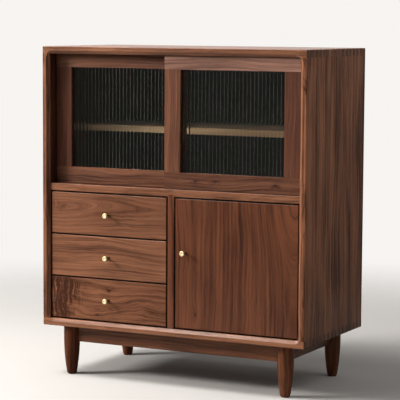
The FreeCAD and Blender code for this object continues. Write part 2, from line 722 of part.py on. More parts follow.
def drawer(name, number):
    low_z = f"ground_z + reveal_gap + {number} * (front_height + reveal_gap)"
    side_z = low_z + " + drawer_low_gap"
    left_x = "-inner_half + runner_width"
    right_x = "-board / 2 - runner_width - drawer_side_board"
    side_y = "door_back_y - drawer_front_housing_depth"
    side_size = ("drawer_side_board", "drawer_length + drawer_front_housing_depth", "drawer_side_height")
    sides = [box(f"{name}_left_side", side_size, (left_x, side_y, side_z)),
             box(f"{name}_right_side", side_size, (right_x, side_y, side_z))]
    box_width = "bay - 2 * runner_width - 2 * drawer_side_board"
    inside_x = left_x + " + drawer_side_board"
    bottom_width = box_width + " + 2 * drawer_bottom_housing_depth"
    bottom_size = (bottom_width, "drawer_length + drawer_bottom_housing_depth", "drawer_bottom_board")
    bottom_x = inside_x + " - drawer_bottom_housing_depth"
    bottom_y = "door_back_y - drawer_bottom_housing_depth"
    bottom_corner = (bottom_x, bottom_y, side_z + " + drawer_bottom_low_gap")
    bottom = keep(f"{name}_bottom", box(f"{name}_bottom", bottom_size, bottom_corner))
    back_low = "drawer_bottom_low_gap + drawer_bottom_board"
    back_width = box_width + " + 2 * drawer_back_housing_depth"
    back_size = (back_width, "drawer_back_board", f"drawer_side_height - ({back_low})")
    back_x = inside_x + " - drawer_back_housing_depth"
    back_corner = (back_x, "drawer_back_y - drawer_back_board", f"{side_z} + {back_low}")
    back = keep(f"{name}_back", box(f"{name}_back", back_size, back_corner))
    housed = [cut(side.Name + "_housed", side, bottom, back) for side in sides]
    keep(f"{name}_sides", compound(f"{name}_sides", housed))
    front_size = ("bay - 2 * reveal_gap", "front_board", "front_height")
    front = eased_board(f"{name}_face", front_size, ("-inner_half + reveal_gap", "face_y", low_z), "y", "xz")
    pull = knob(f"{name}_knob", "-(inner_half + board / 2) / 2", low_z + " + front_height / 2")
    keep(f"{name}_front", cut(f"{name}_front", front, *sides, bottom, pull))
    members = runner_set(name, side_z + " + drawer_side_height / 2")
    keep(f"{name}_inner_runners", compound(f"{name}_inner_runners", members["drawer"]))
    keep(f"{name}_middle_runners", compound(f"{name}_middle_runners", members["middle"]))
    return members["cabinet"]


cabinet_members = []
for number, name in enumerate(DRAWERS):
    cabinet_members += drawer(name, number)
keep("cabinet_runners", compound("cabinet_runners", cabinet_members))

# Hinged door on pivot bushes, with a knob and a magnetic catch
door_size = ("bay - 2 * reveal_gap", "front_board", "door_high_z - door_low_z")
door_blank = eased_board("cupboard_door_board", door_size, ("door_left_x", "face_y", "door_low_z"), "y", "xz")
sleeves = []
bushes = []
for level, z in (("lower", "door_low_z"), ("upper", "door_high_z - bush_length")):
    sleeve = cylinder(f"{level}_sleeve", "bush_radius", "bush_length", ("pivot_x", "pivot_y", z))
    bore = cylinder(f"{level}_bore", "pivot_radius + pivot_gap", "bush_length", ("pivot_x", "pivot_y", z))
    sleeves.append(sleeve)
    bushes.append(cut(f"{level}_bush", sleeve, bore))
keep("door_pivot_bushes", compound("door_pivot_bushes", bushes))
door_knob = knob("cupboard_door_knob", "door_left_x + door_knob_inset",
                 "(door_low_z + door_high_z) / 2 + door_knob_height")
keep("cupboard_door_panel", cut("cupboard_door_panel", door_blank, *sleeves, door_knob))

plate_size = ("catch_length", "catch_plate_board", "catch_plate_height")
plate_corner = ("catch_x", "door_back_y", "door_high_z - catch_plate_height")
keep("catch_plate", box("catch_plate", plate_size, plate_corner))
catch_size = ("catch_length", "catch_depth", "catch_board")
catch_corner = ("catch_x", "door_back_y + catch_plate_board + catch_gap", "middle_under_z - catch_board")
keep("magnetic_catch", eased_board("magnetic_catch", catch_size, catch_corner, "z", "xy"))

# Check every object before anything is written
doc.recompute()
broken = [item.Name for item in doc.Objects if {"Invalid", "Error"} & set(item.State)]
for name, item in nodes.items():
    if item.Shape.isNull() or not item.Shape.isValid() or not item.Shape.Solids:
        broken.append(name)
if broken:
    raise RuntimeError("failed: " + ", ".join(broken))

os.makedirs("parts", exist_ok=True)
for name, item in nodes.items():
    item.Shape.exportStep(f"parts/{name}.step")
    print(f"{name}: {len(item.Shape.Solids)} solid(s), {item.Shape.Volume / 1000:.1f} cm3")
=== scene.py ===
# %% [markdown]
# # A walnut side cabinet with reeded glass
# This lesson dresses a finished CAD model in Blender. The cabinet stands on turned legs. Two sliding doors
# of reeded glass close its upper half, and three drawers and a hinged door share its lower half.
# The CAD model already has every board, joint and knob, so nearly all the work here goes into materials:
# walnut boards that each have their own growth rings, a pane that bends light, and turned brass.

# %% Load the cabinet
import math

import bmesh
import bpy
from mathutils import Euler, Matrix, Vector


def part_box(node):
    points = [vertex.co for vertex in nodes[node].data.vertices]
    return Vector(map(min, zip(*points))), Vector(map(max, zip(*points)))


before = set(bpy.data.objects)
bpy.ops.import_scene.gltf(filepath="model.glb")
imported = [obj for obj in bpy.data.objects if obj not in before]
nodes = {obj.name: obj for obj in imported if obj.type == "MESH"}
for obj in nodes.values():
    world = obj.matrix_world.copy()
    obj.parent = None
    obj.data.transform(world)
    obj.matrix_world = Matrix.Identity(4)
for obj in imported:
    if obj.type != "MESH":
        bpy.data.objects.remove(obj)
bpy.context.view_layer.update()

# %% [markdown]
# ## Camera
# The camera stands to the right of the cabinet, a little above its top, and looks slightly down. A long lens
# from some metres away keeps the upright edges nearly parallel. Turning angles are easier to read than a
# rotation matrix, so the matrix is built here from three of them: the turn to the left, the tilt down and
# the small roll.

# %% Place the camera
TURN, TILT, ROLL = (math.radians(angle) for angle in (27.0755, 5.8516, 0.3291))
CAMERA_PLACE = Vector((2.23225, -4.37868, 0.99864))
LENS, SENSOR_WIDTH = 159.445, 36

forward = Vector((-math.sin(TURN) * math.cos(TILT), math.cos(TURN) * math.cos(TILT), -math.sin(TILT)))
level = Vector((math.cos(TURN), math.sin(TURN), 0))
upward = level.cross(forward)
right = level * math.cos(ROLL) + upward * math.sin(ROLL)
upward = upward * math.cos(ROLL) - level * math.sin(ROLL)
camera_turn = Matrix((right, upward, -forward)).transposed().to_4x4()

camera_data = bpy.data.cameras.new("camera")
camera_data.sensor_width = SENSOR_WIDTH
camera_data.lens = LENS
camera = bpy.data.objects.new("camera", camera_data)
camera.matrix_world = Matrix.Translation(CAMERA_PLACE) @ camera_turn
bpy.context.scene.collection.objects.link(camera)
bpy.context.scene.camera = camera
print("camera looks along", [round(part, 3) for part in forward])

# %% [markdown]
# ## Helpers for shader nodes
# A material is a small graph of nodes, and each node takes several lines to set up by hand. A few helpers keep
# the recipes below short. The first one makes a node and feeds its sockets, either with plain numbers or with
# the outputs of other nodes.


# %% Make a node
def feed(tree, node, inputs):
    for socket, source in inputs.items():
        if isinstance(source, bpy.types.NodeSocket):
            tree.links.new(source, node.inputs[socket])
        else:
            node.inputs[socket].default_value = source


def make(tree, kind, inputs=None, **settings):
    node = tree.nodes.new("ShaderNode" + kind)
    for name, setting in settings.items():
        setattr(node, name, setting)
    feed(tree, node, inputs or {})
    return node


print("node helper ready")

# %% [markdown]
# The next helpers do arithmetic with nodes, on numbers and on vectors. Noise swings about one half, so
# `centred` takes that half off before it scales the swing. A smooth step fades from one level to another
# while its value goes from start to end.


# %% Do arithmetic with nodes
def maths(tree, operation, *values):
    return make(tree, "Math", dict(enumerate(values)), operation=operation).outputs[0]


def total(tree, *values):
    result = values[0]
    for following in values[1:]:
        result = maths(tree, "ADD", result, following)
    return result


def product(tree, *values):
    result = values[0]
    for following in values[1:]:
        result = maths(tree, "MULTIPLY", result, following)
    return result


def centred(tree, value, strength):
    return product(tree, maths(tree, "SUBTRACT", value, 0.5), strength)


def vector_maths(tree, operation, *values):
    node = make(tree, "VectorMath", dict(enumerate(values)), operation=operation)
    return node.outputs["Value" if operation in ("LENGTH", "DOT_PRODUCT") else "Vector"]


def smooth_step(tree, value, start, end, low=0.0, high=1.0):
    inputs = {"Value": value, "From Min": start, "From Max": end, "To Min": low, "To Max": high}
    return make(tree, "MapRange", inputs, interpolation_type="SMOOTHSTEP").outputs[0]


print("arithmetic helpers ready")

# %% [markdown]
# Noise gets a stretch along each axis, because wood is far longer along the grain than across it. A Mix node
# keeps a set of sockets for each kind of data under the same names. So colours go in by number: 0 is the
# factor, and 6 and 7 are the two colours.


# %% Make noise and blend colours
def noise(tree, vector, stretch, detail=2.0, roughness=0.5):
    stretched = vector_maths(tree, "MULTIPLY", vector, stretch)
    inputs = {"Vector": stretched, "Scale": 1.0, "Detail": detail, "Roughness": roughness}
    return make(tree, "TexNoise", inputs).outputs["Fac"]


def blend_colours(tree, factor, first, second):
    return make(tree, "Mix", {0: factor, 6: first, 7: second}, data_type="RGBA").outputs[2]


print("noise and colour helpers ready")

# %% [markdown]
# A node group is a graph that many materials share. The last helpers start a group and use it, start a
# material with its Principled surface, add a bump, and dress a piece of the cabinet in a finished material.


# %% Start groups and materials
def start_group(name, inputs, outputs):
    tree = bpy.data.node_groups.new(name, "ShaderNodeTree")
    for label, (kind, default) in inputs.items():
        socket = tree.interface.new_socket(label, in_out="INPUT", socket_type="NodeSocket" + kind)
        if default is not None:
            socket.default_value = default
    for label, kind in outputs.items():
        tree.interface.new_socket(label, in_out="OUTPUT", socket_type="NodeSocket" + kind)
    return tree, tree.nodes.new("NodeGroupInput").outputs, tree.nodes.new("NodeGroupOutput").inputs


def use_group(tree, group, inputs):
    node = tree.nodes.new("ShaderNodeGroup")
    node.node_tree = group
    feed(tree, node, inputs)
    return node.outputs


def start_material(name):
    material = bpy.data.materials.new(name)
    material.use_nodes = True
    tree = material.node_tree
    return material, tree, tree.nodes["Principled BSDF"]


def add_bump(tree, surface, height, strength, distance):
    bump = make(tree, "Bump", {"Strength": strength, "Distance": distance, "Height": height})
    tree.links.new(bump.outputs[0], surface.inputs["Normal"])


def dress(name, material):
    nodes[name].data.materials.clear()
    nodes[name].data.materials.append(material)


print("group and material helpers ready")

# %% [markdown]
# ## How walnut gets its figure
# A board is a flat slice of a trunk, and its lines are where the slice cuts the growth rings. So the shader
# doesn't paint lines: it works out how far each point of the board is from the pith of the tree. Board
# coordinates run along the grain in X, through the thickness in Y and across the board in Z. The group below
# takes them together with numbers that describe the tree, its stain and its two tones.

# %% Start the walnut group
walnut, given, result = start_group("walnut", {
    "Board": ("Vector", None),
    "Face": ("Vector", None),
    "Tree": ("Float", 0.0),
    "Pith Across": ("Float", 0.0),
    "Pith Depth": ("Float", 0.05),
    "Slope": ("Float", 0.06),
    "Deepest": ("Float", -10.0),
    "Waver": ("Float", 0.05),
    "Rings": ("Float", 130.0),
    "Contrast": ("Float", 1.0),
    "Stave Width": ("Float", 10.0),
    "Bend": ("Float", 0.0),
    "Follow": ("Float", 0.0),
    "Stain": ("Float", 0.0),
    "Edge Stain": ("Float", 0.0),
    "End Shade": ("Float", 0.0),
    "Light": ("Color", None),
    "Dark": ("Color", None),
}, {"Color": "Color", "Roughness": "Float", "Height": "Float"})
print("walnut group started")

# %% [markdown]
# The pith runs nearly along X, a little way behind the face, and slopes by a few degrees, which is what opens
# the rings into the pointed arches of a flat-sawn board. Deepest ends the slope, so that the lines beyond an
# arch run straight. A soft noise bends the rings, because no tree grows straight. Wide panels are glued up
# from staves, so a stave's number shifts its rings and its tone.

# %% Measure the growth rings
STAVE_STEP_ALONG, STAVE_STEP_ASIDE = 0.37, 0.31
SWAY_STRETCH, SHIVER_STRETCH = (2.6, 3.0, 6.0), (14.0, 20.0, 34.0)
SHIVER = 0.14
SLOPE_ROUNDING = 0.03

along, through, across = make(walnut, "SeparateXYZ", {0: given["Board"]}).outputs
staves_aside = maths(walnut, "DIVIDE", across, given["Stave Width"])
stave = maths(walnut, "FLOOR", total(walnut, staves_aside, 0.5))
stave_tone = make(walnut, "TexWhiteNoise", {"W": total(walnut, stave, given["Tree"])},
                  noise_dimensions="1D").outputs["Value"]
tree_along = total(walnut, along, given["Tree"], product(walnut, stave, STAVE_STEP_ALONG))
in_tree = make(walnut, "CombineXYZ", {0: tree_along, 1: through, 2: across}).outputs[0]

sway = maths(walnut, "SUBTRACT", noise(walnut, in_tree, SWAY_STRETCH, detail=1.0), 0.5)
shiver = centred(walnut, noise(walnut, in_tree, SHIVER_STRETCH), SHIVER)
flow_across = total(walnut, across, product(walnut, total(walnut, sway, shiver), given["Waver"]))
aside = total(walnut, flow_across, product(walnut, given["Pith Across"], -1.0),
              product(walnut, stave, STAVE_STEP_ASIDE))
behind = total(walnut, through, given["Pith Depth"], product(walnut, along, given["Slope"]))
behind = maths(walnut, "SMOOTH_MAX", behind, given["Deepest"], SLOPE_ROUNDING)
square = total(walnut, product(walnut, aside, aside), product(walnut, behind, behind))
growth = total(walnut, maths(walnut, "SQRT", square), given["Bend"])
print("growth rings:", len(walnut.nodes), "nodes")

# %% [markdown]
# The distance from the pith, times the rings per metre, counts years. Each year ends in a dark line of
# late wood, some years grow darker than others, and whole decades differ too: three signals that all come
# from the same count, so they follow the same curves.

# %% Turn years into bands
BAND_ROUGHNESS, BAND_SWING = 0.6, 2.2
LATE_WOOD_SHARPNESS, LATE_WOOD_DEPTH = 3.0, 0.55

years = product(walnut, growth, given["Rings"])


def yearly(scale, detail):
    inputs = {"W": total(walnut, years, given["Tree"]), "Scale": scale, "Detail": detail,
              "Roughness": BAND_ROUGHNESS}
    bands = make(walnut, "TexNoise", inputs, noise_dimensions="1D")
    return centred(walnut, bands.outputs["Fac"], BAND_SWING)


year_tone = yearly(scale=0.75, detail=3.0)
decade_tone = yearly(scale=0.14, detail=2.0)
part_of_year = maths(walnut, "FRACT", total(walnut, years, year_tone))
late_wood = product(walnut, maths(walnut, "POWER", part_of_year, LATE_WOOD_SHARPNESS),
                    total(walnut, LATE_WOOD_DEPTH, decade_tone))
print("bands:", len(walnut.nodes), "nodes")

# %% [markdown]
# Finer layers make it wood up close: streaks and fibres, stretched far along the grain, and the open pores
# that walnut shows as short dark dashes. They sway with the rings, and where Follow is one they run round
# every arch as well.

# %% Add streaks, fibres and pores
PORE_STRETCH, PORE_START, PORE_END = (42.0, 850.0, 950.0), 0.56, 0.68

round_arches = product(walnut, maths(walnut, "SUBTRACT", growth, flow_across), given["Follow"])
flow = make(walnut, "CombineXYZ", {
    0: tree_along, 1: through, 2: total(walnut, flow_across, round_arches)}).outputs[0]


def grain_noise(stretch, detail, roughness, strength):
    return centred(walnut, noise(walnut, flow, stretch, detail, roughness), strength)


streaks = grain_noise((2.4, 120.0, 150.0), detail=3.0, roughness=0.65, strength=1.7)
fibres = grain_noise((8.0, 420.0, 480.0), detail=2.0, roughness=0.65, strength=1.0)
cloud = grain_noise((3.5, 12.0, 14.0), detail=3.0, roughness=0.55, strength=1.2)
pores = smooth_step(walnut, noise(walnut, flow, PORE_STRETCH, detail=1.0), PORE_START, PORE_END)
print("fine grain:", len(walnut.nodes), "nodes")

# %% [markdown]
# On the ends of a board, where its own normal points along the grain, the wood drinks more oil and turns
# darker. The narrow edges of the drawer fronts and of the door get painted shade, which keeps the gaps between
# them dark. All layers add up to one number, which says how far the colour lies from the light tone to the
# dark one.

# %% Mix the layers into a colour
YEAR_SHARE, DECADE_SHARE, LATE_WOOD_SHARE = 0.28, 0.36, 0.3
PLAIN_DEPTH, PORE_SHARE, END_GRAIN_SHARE, STAVE_SHARE = 0.45, 0.16, 0.5, 0.3
END_GRAIN_START, END_GRAIN_END = 0.7, 0.9
NARROW_START, NARROW_END = 0.5, 0.2
BLACK = (0, 0, 0, 1)

face_along, face_through, _ = make(walnut, "SeparateXYZ", {0: given["Face"]}).outputs
end_grain = smooth_step(walnut, maths(walnut, "ABSOLUTE", face_along), END_GRAIN_START, END_GRAIN_END)
# The mask of narrow edges carries painted shade for the gaps between parts.
narrow = smooth_step(walnut, maths(walnut, "ABSOLUTE", face_through), NARROW_START, NARROW_END)

bands = total(walnut, product(walnut, year_tone, YEAR_SHARE), product(walnut, decade_tone, DECADE_SHARE),
              product(walnut, late_wood, LATE_WOOD_SHARE))
figure = product(walnut, total(walnut, bands, streaks, cloud), given["Contrast"])
depth = total(walnut, PLAIN_DEPTH, figure, fibres, product(walnut, pores, PORE_SHARE),
              product(walnut, end_grain, END_GRAIN_SHARE), centred(walnut, stave_tone, STAVE_SHARE),
              given["Stain"], product(walnut, narrow, given["Edge Stain"]))
depth = maths(walnut, "MINIMUM", maths(walnut, "MAXIMUM", depth, 0.0), 1.0)
colour = blend_colours(walnut, depth, given["Light"], given["Dark"])
colour = blend_colours(walnut, product(walnut, end_grain, given["End Shade"]), colour, BLACK)
print("colour:", len(walnut.nodes), "nodes")

# %% [markdown]
# The same layers give the oiled surface its touch. Pores and end grain are rougher than the wood between
# them, and pores are small pits.

# %% Finish the walnut group
OILED, FIBRE_ROUGHNESS, PORE_ROUGHNESS, END_ROUGHNESS = 0.28, 0.12, 0.14, 0.12
FIBRE_RELIEF = 0.6

polish = total(walnut, OILED, product(walnut, fibres, FIBRE_ROUGHNESS), product(walnut, pores, PORE_ROUGHNESS),
               product(walnut, end_grain, END_ROUGHNESS))
relief = maths(walnut, "SUBTRACT", product(walnut, fibres, FIBRE_RELIEF), pores)
for label, source in (("Color", colour), ("Roughness", polish), ("Height", relief)):
    walnut.links.new(source, result[label])
print("walnut group:", len(walnut.nodes), "nodes")

# %% [markdown]
# ## Knots
# A knot is a branch that the trunk grew around. The rings flow past it on both sides, and its heart is
# nearly black. The knot group measures the distance to the branch in board coordinates, in knot radii. It
# pushes the rings outward there, through the walnut group's Bend, and darkens the heart through its Stain.

# %% Build the knot group
KNOT_LENGTHENING = 0.45
SWELL_FALL, SWELL_PUSH, SWELL_STAIN = -0.12, 3.0, 0.18
HEART_EDGE, HEART_CORE, HEART_STAIN = 1.2, 0.3, 0.8

knot, given, result = start_group("knot", {
    "Board": ("Vector", None),
    "Place": ("Vector", None),
    "Radius": ("Float", 0.005),
}, {"Bend": "Float", "Stain": "Float"})

offset = vector_maths(knot, "SUBTRACT", given["Board"], given["Place"])
along_knot, _, across_knot = make(knot, "SeparateXYZ", {0: offset}).outputs
along_knot = product(knot, along_knot, KNOT_LENGTHENING)
square = total(knot, product(knot, along_knot, along_knot), product(knot, across_knot, across_knot))
near = maths(knot, "DIVIDE", maths(knot, "SQRT", square), given["Radius"])
swell = maths(knot, "EXPONENT", product(knot, near, near, SWELL_FALL))
heart = smooth_step(knot, near, HEART_EDGE, HEART_CORE)
knot.links.new(product(knot, swell, given["Radius"], SWELL_PUSH), result["Bend"])
knot.links.new(total(knot, product(knot, heart, HEART_STAIN), product(knot, swell, SWELL_STAIN)), result["Stain"])
print("knot group:", len(knot.nodes), "nodes")

# %% [markdown]
# ## Crotch figure
# Where a trunk forks, walnut grows dark, feathery figure that runs across the grain. The feather group
# fades in over a ragged oval patch of the board and stains it with short streaks that hang across the grain.
# Its Calm output quietens the growth rings there, so that the two figures don't cross like a plaid.

# %% Build the feather group
EDGE_STRETCH, EDGE_RAGGEDNESS = (36.0, 22.0, 30.0), 1.1
PATCH_EDGE, PATCH_CORE = 1.65, 0.95
LEAN_SCALE, LEAN = 30.0, (0.022, 0.0, 0.0)
BARB_STRETCH, BARB_SWING, BARB_DEPTH = (210.0, 30.0, 17.0), 3.2, 0.5
RING_CALM = 0.8

feather, given, result = start_group("feather", {
    "Board": ("Vector", None),
    "Place": ("Vector", None),
    "Reach": ("Vector", None),
    "Strength": ("Float", 1.0),
}, {"Stain": "Float", "Calm": "Float"})

offset = vector_maths(feather, "SUBTRACT", given["Board"], given["Place"])
share = vector_maths(feather, "DIVIDE", offset, given["Reach"])
ragged = product(feather, noise(feather, given["Board"], EDGE_STRETCH), EDGE_RAGGEDNESS)
near = total(feather, vector_maths(feather, "LENGTH", share), ragged)
patch = smooth_step(feather, near, PATCH_EDGE, PATCH_CORE)
lean = make(feather, "TexNoise", {"Vector": given["Board"], "Scale": LEAN_SCALE, "Detail": 2.0}).outputs["Color"]
leaning = vector_maths(feather, "ADD", given["Board"], vector_maths(feather, "MULTIPLY", lean, LEAN))
barbs = centred(feather, noise(feather, leaning, BARB_STRETCH, detail=3.0, roughness=0.6), BARB_SWING)
stain = product(feather, patch, total(feather, BARB_DEPTH, barbs), given["Strength"])
calm = product(feather, patch, given["Strength"], RING_CALM)
feather.links.new(stain, result["Stain"])
feather.links.new(maths(feather, "SUBTRACT", 1.0, calm), result["Calm"])
print("feather group:", len(feather.nodes), "nodes")

# %% [markdown]
# ## Painted shade inside
# The inside of the carcass is darkened with painted shade, which hides the gaps round the fronts. This
# group tells a material which points lie inside: between the side panels, above the bottom, below the top and
# behind the front edges of the boards.

# %% Build the interior group
INSIDE_HALF_WIDTH = 0.3806
INSIDE_FRONT, INSIDE_BACK = -0.183, 0.2
INSIDE_BOTTOM, INSIDE_TOP = 0.1594, 0.9006

interior, given, result = start_group("interior", {"Vector": ("Vector", None)}, {"Within": "Float"})
sideways, back, height = make(interior, "SeparateXYZ", {0: given["Vector"]}).outputs
within = product(interior,
                 maths(interior, "LESS_THAN", maths(interior, "ABSOLUTE", sideways), INSIDE_HALF_WIDTH),
                 maths(interior, "GREATER_THAN", back, INSIDE_FRONT),
                 maths(interior, "LESS_THAN", back, INSIDE_BACK),
                 maths(interior, "GREATER_THAN", height, INSIDE_BOTTOM),
                 maths(interior, "LESS_THAN", height, INSIDE_TOP))
interior.links.new(within, result["Within"])
print("interior group:", len(interior.nodes), "nodes")

# %% [markdown]
# ## Laying the grain on a board
# Each board is cut another way round, so a Mapping node turns the cabinet's coordinates into board
# coordinates. Its rotation is one of five, named by the direction of the grain and the way the face looks,
# and its location puts the middle of the board at zero. Another number says which stretch of the tree the
# board comes from, so that no two boards show the same noise. What is left over, such as `pith_depth`, goes
# to the walnut group's input of that name.

# %% Make a walnut material for one board
GRAIN_TURNS = {
    "sideways": (0, 0, 0),
    "upright": (0, 90, 0),
    "upright_side": (90, 0, 90),
    "lying": (90, 0, 0),
    "front_to_back": (0, 0, 90),
}
SATIN = 0.22
WOOD_BUMP = {"strength": 0.25, "distance": 0.0004}


def add_figures(tree, board, inputs, knots, feathers):
    for place, radius in knots:
        branch = use_group(tree, knot, {"Board": board, "Place": place, "Radius": radius})
        for label in ("Bend", "Stain"):
            inputs[label] = total(tree, inputs.get(label, 0.0), branch[label])
    for place, reach, strength in feathers:
        patch = use_group(tree, feather, {"Board": board, "Place": place, "Reach": reach, "Strength": strength})
        inputs["Stain"] = total(tree, inputs.get("Stain", 0.0), patch["Stain"])
        inputs["Contrast"] = product(tree, inputs.get("Contrast", 1.0), patch["Calm"])


def board_material(name, grain, tree_stretch, light, dark, knots=(), feathers=(), gloss=SATIN, inside=0.0,
                   **figure):
    material, tree, surface = start_material(name)
    turn = Euler([math.radians(angle) for angle in GRAIN_TURNS[grain]])
    low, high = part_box(name)
    middle = turn.to_matrix() @ ((low + high) / 2)
    spot = make(tree, "TexCoord").outputs
    board = make(tree, "Mapping", {"Vector": spot["Object"], "Location": -middle, "Rotation": turn}).outputs[0]
    facing = make(tree, "Mapping", {"Vector": spot["Normal"], "Rotation": turn}, vector_type="VECTOR").outputs[0]

    inputs = {"Board": board, "Face": facing, "Tree": tree_stretch, "Light": (*light, 1), "Dark": (*dark, 1)}
    inputs.update({label.replace("_", " ").title(): number for label, number in figure.items()})
    add_figures(tree, board, inputs, knots, feathers)
    # Points inside the carcass get painted shade, added to the stain.
    if inside:
        within = use_group(tree, interior, {"Vector": spot["Object"]})["Within"]
        inputs["Stain"] = total(tree, inputs.get("Stain", 0.0), product(tree, within, inside))

    wood = use_group(tree, walnut, inputs)
    tree.links.new(wood["Color"], surface.inputs["Base Color"])
    tree.links.new(wood["Roughness"], surface.inputs["Roughness"])
    surface.inputs["Specular IOR Level"].default_value = gloss
    add_bump(tree, surface, wood["Height"], **WOOD_BUMP)
    dress(name, material)


print("grain turns:", ", ".join(GRAIN_TURNS))

# %% [markdown]
# ## Boards of the carcass
# The top, bottom and middle panels run sideways and the side panels upright, glued up from staves.
# Walnut varies from tree to tree, so tones are named once here, each as a light and a dark colour, and
# shared between the boards that match. The shelves are of a lighter wood.

# %% Name the tones of wood
HONEY = ((0.33, 0.138, 0.072), (0.058, 0.02, 0.0105))
ROSE = ((0.43, 0.226, 0.163), (0.115, 0.053, 0.038))
RUSSET = ((0.25, 0.094, 0.045), (0.046, 0.0145, 0.0075))
DUSK = ((0.24, 0.1, 0.056), (0.044, 0.0155, 0.0093))
PLUM = ((0.153, 0.059, 0.035), (0.0272, 0.0092, 0.006))
UMBER = ((0.18, 0.061, 0.029), (0.032, 0.0095, 0.005))
LEFT_LEG_SHADE_TONE = ((0.15, 0.046, 0.018), (0.03, 0.008, 0.0035))
# The back panel's tone is darkened as painted shade deep inside the cabinet.
BACK_SHADE_TONE = ((0.19, 0.075, 0.04), (0.016, 0.0105, 0.0075))
ASH = ((0.6, 0.39, 0.25), (0.36, 0.21, 0.125))
MAPLE = ((0.62, 0.47, 0.3), (0.44, 0.3, 0.17))
print("ten tones of wood named")

# %% [markdown]
# Each call below is one board: its name, the way its grain runs, its stretch of the tree and its tone,
# followed by whatever differs from the usual board. A positive stain darkens and a negative one lightens.

# %% Dress the carcass
# Strength of the painted shade inside the carcass.
INSIDE_SHADE = 0.45
DULL = 0.08

board_material("top_panel", "lying", 0.3, *HONEY, pith_depth=0.11, pith_across=0.05, slope=0.14, waver=0.02,
               stave_width=0.09, inside=INSIDE_SHADE)
board_material("bottom_panel", "lying", 1.7, *HONEY, pith_depth=0.09, pith_across=-0.12, slope=0.12, waver=0.03,
               stave_width=0.09, end_shade=0.5, inside=INSIDE_SHADE)
board_material("middle_panel", "lying", 2.9, *HONEY, pith_depth=0.05, slope=0.22, rings=90.0,
               inside=INSIDE_SHADE)
# The left side panel's stain darkens it; on its bevel, which faces away from the window lamp, this is painted
# shade.
board_material("left_side_panel", "upright_side", 4.1, *HONEY, pith_depth=0.2, pith_across=0.1, slope=0.01,
               stave_width=0.085, stain=0.14, inside=INSIDE_SHADE)
board_material("right_side_panel", "upright_side", 35.0, *HONEY, pith_depth=0.25, pith_across=0.3, slope=0.01,
               contrast=1.15, stave_width=0.085, stain=0.025, gloss=DULL, inside=INSIDE_SHADE)
board_material("centre_partition", "upright", 6.2, *UMBER, pith_depth=0.15, pith_across=0.1, slope=0.02,
               stain=-0.05, inside=INSIDE_SHADE)
# The back panel's very dark tone and its full inside darkening are painted shade.
board_material("back_panel", "upright", 7.4, *BACK_SHADE_TONE, pith_depth=0.05, slope=0.05, rings=90.0, contrast=0.7,
               stain=-0.06, inside=1.0)
for number, name in enumerate(("upper_shelf", "cupboard_shelf")):
    board_material(name, "lying", 8.3 + number, *ASH, pith_depth=0.08, slope=0.03)
print("carcass dressed")

# %% [markdown]
# Legs and aprons are cut from redder wood. The two legs on the left get a deeper tone, which is painted shade.

# %% Dress the legs and aprons
for number, name in enumerate(("front_left_leg", "front_right_leg", "rear_left_leg", "rear_right_leg")):
    # The deeper tone of the left legs is painted shade.
    tone = RUSSET if "right" in name else LEFT_LEG_SHADE_TONE
    board_material(name, "upright", 10.0 + 0.7 * number, *tone, pith_depth=0.06, pith_across=0.04, slope=0.02,
                   gloss=DULL)
for number, name in enumerate(("front_apron", "rear_apron")):
    board_material(name, "sideways", 13.0 + number, *RUSSET, pith_depth=0.07, pith_across=0.03, slope=0.05,
                   stain=-0.06)
board_material("side_aprons", "front_to_back", 15.0, *RUSSET, pith_depth=0.07, slope=0.04)
board_material("corner_blocks", "upright", 16.0, *HONEY, pith_depth=0.07, slope=0.04)
print("legs and aprons dressed")

# %% [markdown]
# ## Drawer fronts and cupboard door
# The upper drawer shows pointed arches of flat-sawn wood with a small feather at their root, the middle one
# long straight lines. The lower one was cut near a fork in the trunk, and has a dark feather at its left end
# and two small knots. The door's grain runs upright, with an arch in its upper right corner. A knot is given
# by its place and radius, a feather by its place, reach and strength, both in board coordinates.

# %% Dress the drawer fronts and the door
# Painted shade on the narrow edges of the fronts and the door, which darkens the gaps between them.
EDGE_GAP_SHADE = 0.7

board_material("upper_drawer_front", "sideways", 17.0, *HONEY, pith_depth=-0.012, pith_across=0.019, slope=-0.13,
               deepest=-0.024, waver=0.06, follow=1.0, contrast=0.72, stain=-0.02, edge_stain=EDGE_GAP_SHADE,
               feathers=[((-0.16, 0, 0.02), (0.03, 1, 0.016), 0.5)])
board_material("middle_drawer_front", "sideways", 18.6, *HONEY, pith_depth=0.06, pith_across=-0.09, slope=0.03,
               waver=0.06, contrast=0.8, stain=-0.11, edge_stain=EDGE_GAP_SHADE)
board_material("lower_drawer_front", "sideways", 20.2, *HONEY, pith_depth=0.05, pith_across=-0.05, slope=0.06,
               waver=0.1, contrast=0.75, stain=-0.07, edge_stain=EDGE_GAP_SHADE, gloss=0.1,
               knots=[((-0.035, 0, -0.043), 0.003), ((0.002, 0, 0.027), 0.0035)],
               feathers=[((-0.156, 0, 0.01), (0.06, 1, 0.08), 1.55), ((-0.09, 0, 0.02), (0.04, 1, 0.045), 0.3)])
board_material("cupboard_door_panel", "upright", 22.0, *UMBER, pith_depth=-0.058, pith_across=-0.17, slope=0.33,
               deepest=-0.06, waver=0.05, follow=1.0, stain=-0.06, edge_stain=EDGE_GAP_SHADE,
               knots=[((-0.135, 0, 0.12), 0.003)])
print("drawer fronts and cupboard door dressed")

# %% [markdown]
# ## Sliding doors
# Each glazed door is a frame of two upright stiles and two rails. Frames are made from what is at hand, so
# the tone changes from piece to piece: the right door's top rail is the palest, and most stiles are dark.
# Three pin knots sit in the right door's bottom rail.

# %% Dress the sliding door frames
RAIL_STAINS = {"left_door_bottom_rail": 0.05, "right_door_bottom_rail": -0.06}
RAIL_KNOTS = {"right_door_bottom_rail": [((-0.107, 0, 0.004), 0.0022), ((-0.047, 0, 0.004), 0.0022),
                                         ((0.13, 0, 0.004), 0.0025)]}
FRAME_CONTRAST = 0.8

